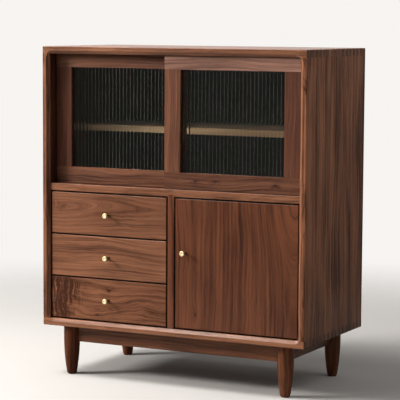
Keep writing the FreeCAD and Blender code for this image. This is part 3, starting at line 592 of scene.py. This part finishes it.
for number, side in enumerate(("left_door", "right_door")):
    for part_number, rail in enumerate(("top_rail", "bottom_rail")):
        name = f"{side}_{rail}"
        tone = ROSE if name == "right_door_top_rail" else DUSK
        board_material(name, "sideways", 24.0 + 2 * number + 0.8 * part_number, *tone, RAIL_KNOTS.get(name, ()),
                       pith_depth=0.05, pith_across=0.03, slope=0.04, contrast=FRAME_CONTRAST,
                       stain=RAIL_STAINS.get(name, 0.0))
    for part_number, stile in enumerate(("left_stile", "right_stile")):
        name = f"{side}_{stile}"
        tone = DUSK if name == "right_door_left_stile" else PLUM
        board_material(name, "upright", 28.0 + 2 * number + 0.8 * part_number, *tone,
                       pith_depth=0.08, pith_across=0.05, slope=0.03, contrast=FRAME_CONTRAST)
    board_material(f"{side}_glazing_beads", "upright", 33.0 + number, *UMBER)
print("sliding door frames dressed")

# %% [markdown]
# ## Drawer boxes
# The drawers' sides, backs and bottoms are of pale maple, which shows only when a drawer is pulled out.

# %% Dress the drawer boxes
DRAWERS = ("lower_drawer", "middle_drawer", "upper_drawer")

for number, drawer in enumerate(DRAWERS):
    board_material(f"{drawer}_sides", "front_to_back", 36.0 + number, *MAPLE, pith_depth=0.08, slope=0.02)
    board_material(f"{drawer}_back", "sideways", 40.0 + number, *MAPLE, pith_depth=0.08, slope=0.02)
    board_material(f"{drawer}_bottom", "lying", 44.0 + number, *MAPLE, pith_depth=0.1, slope=0.03)
print("drawer boxes dressed")

# %% [markdown]
# ## Reeded glass
# The pane's reeds are in the CAD model, so the shader is plain clear glass and the reeds bend what is
# behind it into stripes. Daylight has to get into the cabinet through the pane: for shadow rays the glass
# turns transparent, because a path tracer finds light through refracting glass only by luck.

# %% Make the glass
RIPPLE_STRETCH, RIPPLE_ROUGHNESS = (30.0, 30.0, 12.0), 0.06
GLASS = {"Base Color": (0.86, 0.89, 0.84, 1), "Transmission Weight": 1.0, "IOR": 1.5,
         "Specular Tint": (0.95, 1.0, 0.88, 1)}
SHADOW_TINT = (0.58, 0.59, 0.54, 1)

glass, tree, surface = start_material("reeded_glass")
feed(tree, surface, GLASS)
ripple = noise(tree, make(tree, "TexCoord").outputs["Object"], RIPPLE_STRETCH)
tree.links.new(product(tree, ripple, RIPPLE_ROUGHNESS), surface.inputs["Roughness"])
clear = make(tree, "BsdfTransparent", {"Color": SHADOW_TINT})
is_shadow = make(tree, "LightPath").outputs["Is Shadow Ray"]
either = make(tree, "MixShader", {0: is_shadow, 1: surface.outputs[0], 2: clear.outputs[0]})
tree.links.new(either.outputs[0], tree.nodes["Material Output"].inputs["Surface"])
for name in ("left_door_glass", "right_door_glass"):
    dress(name, glass)
print("glass made")

# %% [markdown]
# ## Metal and plastic
# Plated steel shows the drawing marks along its length, and the rest only the smudges of handling. One group
# makes both. It takes coordinates that are already stretched for the piece, so marks are fine noise and
# smudges the same noise fifty times as large.

# %% Build the scratches group
MARK_STRETCH, SMUDGE_STRETCH = (1.0, 1.0, 1.0), (0.02, 0.02, 0.02)
WORKED_ROUGHNESS, SMUDGE_ROUGHNESS = 0.22, 0.15

scratches, given, result = start_group("scratches", {
    "Vector": ("Vector", None),
    "Amount": ("Float", 1.0),
}, {"Shade": "Float", "Roughness": "Float", "Height": "Float"})
lines = noise(scratches, given["Vector"], MARK_STRETCH, detail=3.0, roughness=0.65)
smudge = noise(scratches, given["Vector"], SMUDGE_STRETCH)
change = centred(scratches, lines, given["Amount"])
roughness = total(scratches, WORKED_ROUGHNESS, product(scratches, smudge, SMUDGE_ROUGHNESS), change)
scratches.links.new(total(scratches, 0.5, change), result["Shade"])
scratches.links.new(roughness, result["Roughness"])
scratches.links.new(lines, result["Height"])
print("scratches group:", len(scratches.nodes), "nodes")

# %% [markdown]
# The marks of the runners are stretched along Y, the way a drawer runs. The other pieces have marks that are
# alike in all directions.

# %% Dress the metal and plastic pieces
WORKED_BUMP = {"strength": 0.12, "distance": 0.0002}


def worked_material(name, stretch, amount, light, dark, metallic, members):
    material, tree, surface = start_material(name)
    spot = make(tree, "TexCoord").outputs["Object"]
    stretched = vector_maths(tree, "MULTIPLY", spot, stretch)
    marks = use_group(tree, scratches, {"Vector": stretched, "Amount": amount})
    tree.links.new(blend_colours(tree, marks["Shade"], (*dark, 1), (*light, 1)), surface.inputs["Base Color"])
    tree.links.new(marks["Roughness"], surface.inputs["Roughness"])
    add_bump(tree, surface, marks["Height"], **WORKED_BUMP)
    surface.inputs["Metallic"].default_value = metallic
    for member in members:
        dress(member, material)
    print(name, "on", len(members), "pieces")


runners = [f"{drawer}_{part}" for drawer in DRAWERS for part in ("inner_runners", "middle_runners")]
worked_material("dark_bronze", (700, 700, 700), 0.4, (0.09, 0.055, 0.03), (0.03, 0.018, 0.01), 1.0,
                ["door_pivot_pins", "door_pivot_bushes"])
worked_material("plated_runners", (900, 9, 900), 0.4, (0.75, 0.76, 0.77), (0.5, 0.51, 0.52), 1.0,
                runners + ["cabinet_runners"])
worked_material("plain_steel", (500, 500, 500), 0.4, (0.66, 0.65, 0.63), (0.4, 0.39, 0.38), 1.0,
                ["back_screws", "catch_plate", "shelf_pins"])
worked_material("dark_plastic", (700, 700, 700), 0.5, (0.08, 0.06, 0.05), (0.03, 0.024, 0.02), 0.0,
                ["foot_pads", "magnetic_catch"])

# %% [markdown]
# Each knob was turned on a lathe, so its tool marks are circles about its own axis. The radius from that axis
# drives them: a fine sine for the rings on the face. The neck behind the head is darkened with painted shade,
# which fades in with the depth from the face.

# %% Dress the knobs
BRASS_WORN, BRASS_BRIGHT, NECK_SHADE_COLOUR = (0.88, 0.69, 0.4, 1), (0.98, 0.82, 0.53, 1), (0.16, 0.095, 0.04, 1)
NECK_SHADE_START, NECK_SHADE_END = 0.003, 0.0065
TOOL_MARKS, WEAR_STRETCH = 14000.0, (400.0, 400.0, 400.0)
BRASS_ROUGHNESS, MARK_ROUGHNESS, WEAR_ROUGHNESS = 0.5, 0.03, 0.1
BRASS_BUMP = {"strength": 0.1, "distance": 0.0001}

for name in [f"{drawer}_knob" for drawer in DRAWERS] + ["cupboard_door_knob"]:
    material, tree, surface = start_material(f"turned_brass_{name}")
    low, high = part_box(name)
    axis = Vector(((low.x + high.x) / 2, low.y, (low.z + high.z) / 2))
    spot = make(tree, "TexCoord").outputs["Object"]
    from_axis = vector_maths(tree, "SUBTRACT", spot, axis)
    radius = vector_maths(tree, "LENGTH", vector_maths(tree, "MULTIPLY", from_axis, (1, 0, 1)))
    rings = maths(tree, "SINE", product(tree, radius, TOOL_MARKS))
    worn = noise(tree, spot, WEAR_STRETCH)
    depth = make(tree, "SeparateXYZ", {0: from_axis}).outputs[1]
    # Painted shade on the neck behind the knob's head.
    neck_shade = smooth_step(tree, depth, NECK_SHADE_START, NECK_SHADE_END)
    polished = blend_colours(tree, worn, BRASS_WORN, BRASS_BRIGHT)
    roughness = total(tree, BRASS_ROUGHNESS, product(tree, rings, MARK_ROUGHNESS),
                      product(tree, worn, WEAR_ROUGHNESS))
    tree.links.new(blend_colours(tree, neck_shade, polished, NECK_SHADE_COLOUR), surface.inputs["Base Color"])
    tree.links.new(roughness, surface.inputs["Roughness"])
    add_bump(tree, surface, rings, **BRASS_BUMP)
    surface.inputs["Metallic"].default_value = 1.0
    dress(name, material)
print("knobs dressed")

# %% [markdown]
# ## Floor
# A pale floor catches the shadow and fades out towards its rim, so that it meets the pale background without
# an edge. Light Path tells what kind of ray asks for the colour. The camera, and rays through glass, see the
# pale floor, and mirrors see half of it. For the light that it throws back on the cabinet the floor is
# darker, as wooden boards would be, so that the legs keep their shade.

# %% Lay the floor
FLOOR_RADIUS, FLOOR_CORNERS = 9.0, 96
FLOOR_PALE, FLOOR_PALER, FLOOR_DARK = (0.55, 0.537, 0.52, 1), (0.58, 0.567, 0.55, 1), (0.3, 0.285, 0.265, 1)
MIRRORED_SHARE = 0.5
MOTTLING = (2.0, 2.0, 2.0)
FADE_START, FADE_END = 0.9, 2.6

floor_mesh = bpy.data.meshes.new("floor")
shape = bmesh.new()
bmesh.ops.create_circle(shape, cap_ends=True, segments=FLOOR_CORNERS, radius=FLOOR_RADIUS)
shape.to_mesh(floor_mesh)
shape.free()
floor = bpy.data.objects.new("floor", floor_mesh)
bpy.context.scene.collection.objects.link(floor)

pale, tree, surface = start_material("pale_floor")
feed(tree, surface, {"Roughness": 0.9, "Specular IOR Level": 0.1})
spot = make(tree, "TexCoord").outputs["Object"]
rays = make(tree, "LightPath").outputs
seen = maths(tree, "MAXIMUM", rays["Is Camera Ray"], rays["Is Transmission Ray"])
seen = maths(tree, "MAXIMUM", seen, product(tree, rays["Is Glossy Ray"], MIRRORED_SHARE))
mottled = blend_colours(tree, noise(tree, spot, MOTTLING), FLOOR_PALE, FLOOR_PALER)
tree.links.new(blend_colours(tree, seen, FLOOR_DARK, mottled), surface.inputs["Base Color"])
fade = smooth_step(tree, vector_maths(tree, "LENGTH", spot), FADE_START, FADE_END)
gone = make(tree, "BsdfTransparent")
either = make(tree, "MixShader", {0: fade, 1: surface.outputs[0], 2: gone.outputs[0]})
tree.links.new(either.outputs[0], tree.nodes["Material Output"].inputs["Surface"])
floor.data.materials.append(pale)
print("floor laid")

# %% [markdown]
# ## Lamps
# Four soft lamps light the cabinet, all aimed at its middle. The window lamp does most of the work: it stands
# on the left in front, leaves the right side in shade and catches the bevel round the front. The ceiling lamp
# lights the top, a weak lamp helps from the front, and a weaker one fills the shade on the right.


# %% Set the lamps
LAMP_AIM = Vector((0, 0, 0.5))


def soft_lamp(name, direction, distance, size, power, colour):
    data = bpy.data.lights.new(name, "AREA")
    data.shape = "SQUARE"
    data.size = size
    data.energy = power
    data.color = colour
    lamp = bpy.data.objects.new(name, data)
    lamp.location = LAMP_AIM + Vector(direction).normalized() * distance
    lamp.rotation_euler = (LAMP_AIM - lamp.location).to_track_quat("-Z", "Y").to_euler()
    bpy.context.scene.collection.objects.link(lamp)
    print(name, "at", [round(part, 2) for part in lamp.location])


soft_lamp("window_lamp", (-0.765, -0.51, 0.39), distance=3.6, size=0.9, power=124, colour=(1.0, 0.97, 0.93))
soft_lamp("front_lamp", (-0.37, -0.82, 0.45), distance=3.6, size=1.0, power=12, colour=(1.0, 0.965, 0.92))
soft_lamp("ceiling_lamp", (-0.46, -0.27, 0.85), distance=2.6, size=1.0, power=85, colour=(1.0, 0.98, 0.96))
soft_lamp("fill_lamp", (0.8, 0.1, 0.6), distance=1.7, size=0.8, power=4.5, colour=(1.0, 0.97, 0.94))

# %% [markdown]
# ## World
# The world is a studio that is pale on the window side, to the left and behind, and dim elsewhere. The glass
# and the satin fronts mirror its dim side, so they stay deep in tone, and each reed of the glass catches a
# thin line of the pale side. Behind on the right a grey wall, darker towards the floor, gives the right side
# panel a faint sheen.

# %% Shade the studio's walls
PALE_WAY, PALE_START, PALE_END = (-0.866, 0.5, 0), 0.3, 0.6
DIM_LEVEL, PALE_LEVEL = 0.1, 0.93
GREY_WAY, GREY_START, GREY_END = (0.454, 0.891, 0), 0.75, 0.95
GREY_WALL = {"From Min": -0.2, "From Max": 0.15, "To Min": 0.02, "To Max": 0.36}

world = bpy.data.worlds.new("pale_studio")
bpy.context.scene.world = world
world.use_nodes = True
tree = world.node_tree
looking = make(tree, "TexCoord").outputs["Generated"]
level_look = vector_maths(tree, "NORMALIZE", vector_maths(tree, "MULTIPLY", looking, (1, 1, 0)))
pale_side = smooth_step(tree, vector_maths(tree, "DOT_PRODUCT", level_look, PALE_WAY), PALE_START, PALE_END,
                        DIM_LEVEL, PALE_LEVEL)
grey_side = smooth_step(tree, vector_maths(tree, "DOT_PRODUCT", level_look, GREY_WAY), GREY_START, GREY_END)
look_height = make(tree, "SeparateXYZ", {0: looking}).outputs[2]
grey_level = make(tree, "MapRange", {"Value": look_height, **GREY_WALL}).outputs[0]
walls = maths(tree, "MAXIMUM", pale_side, product(tree, grey_side, grey_level))
print("studio walls:", len(tree.nodes), "nodes")

# %% [markdown]
# Mirrors and glass see these walls. The camera sees an even pale background, and what falls on the wood as
# fill light is weaker. In a Mix node for plain numbers, 0 is the factor, and 2 and 3 are the two numbers.

# %% Set the world
FILL_STRENGTH, BACKGROUND_STRENGTH = 0.2, 0.93
BACKGROUND_COLOUR = (1.0, 0.973, 0.945, 1)

rays = make(tree, "LightPath").outputs
mirrored = maths(tree, "MAXIMUM", rays["Is Glossy Ray"], rays["Is Transmission Ray"])
strength = make(tree, "Mix", {0: mirrored, 2: FILL_STRENGTH, 3: walls}).outputs[0]
strength = make(tree, "Mix", {0: rays["Is Camera Ray"], 2: strength, 3: BACKGROUND_STRENGTH}).outputs[0]
feed(tree, tree.nodes["Background"], {"Color": BACKGROUND_COLOUR, "Strength": strength})
bpy.context.scene.view_settings.view_transform = "Standard"
print("world set")
